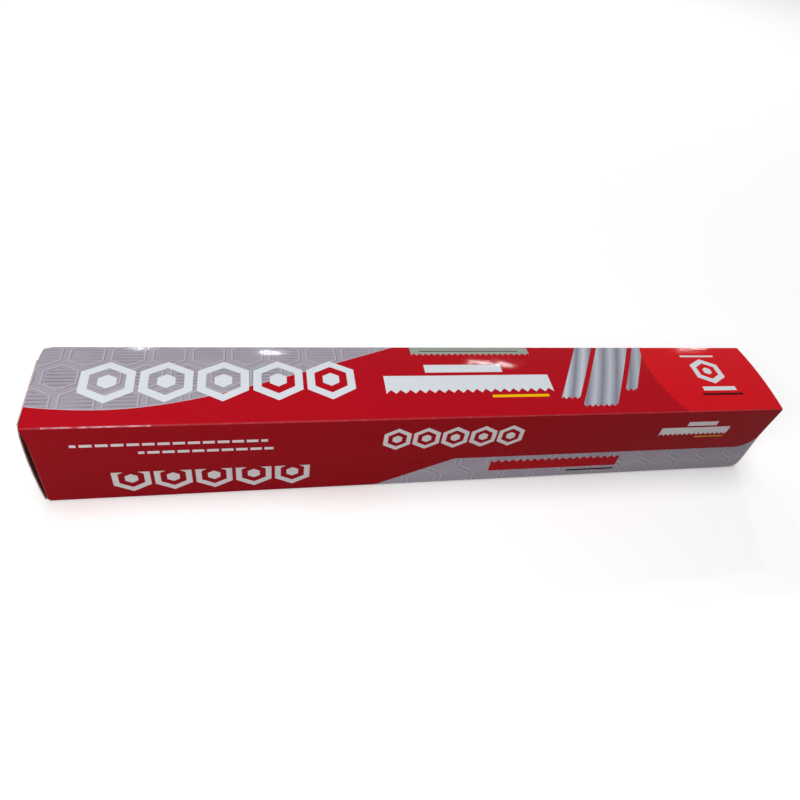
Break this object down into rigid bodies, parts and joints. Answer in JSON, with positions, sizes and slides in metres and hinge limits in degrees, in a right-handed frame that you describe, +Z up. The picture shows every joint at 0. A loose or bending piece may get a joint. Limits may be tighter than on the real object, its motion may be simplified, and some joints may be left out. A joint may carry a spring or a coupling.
{
  "type": "boxed aluminium foil roll",
  "caption": "Slim boxboard dispenser carton with a hinged lid and front flap, holding kitchen foil wound on a paper core, with a saw-toothed steel cutter under the flap.",
  "frame": {"origin": "centre of the tray's flat base, on the surface that the carton stands on", "axes": "+X along the carton, -Y towards the front, where the lid's flap hangs, +Z up"},
  "size_m": [0.31, 0.0422, 0.0435],
  "materials": {
    "printed_board": "white boxboard, printed and varnished",
    "blade_steel": "thin tinned strip",
    "core_paper": "plain brown spiral-wound paper",
    "foil": "bright foil"
  },
  "bodies": {
    "tray": {"carton_tray": "printed_board", "cutter_blade": "blade_steel", "core_tube": "core_paper", "foil_roll": "foil"},
    "lid": {"carton_lid": "printed_board"}
  },
  "joints": [
    {"name": "lid_hinge", "type": "hinge", "parent": "tray", "child": "lid", "pos_m": [0, 0.02042, 0.04217], "axis": [-1, 0, 0], "range_deg": [0, 175]}
  ]
}
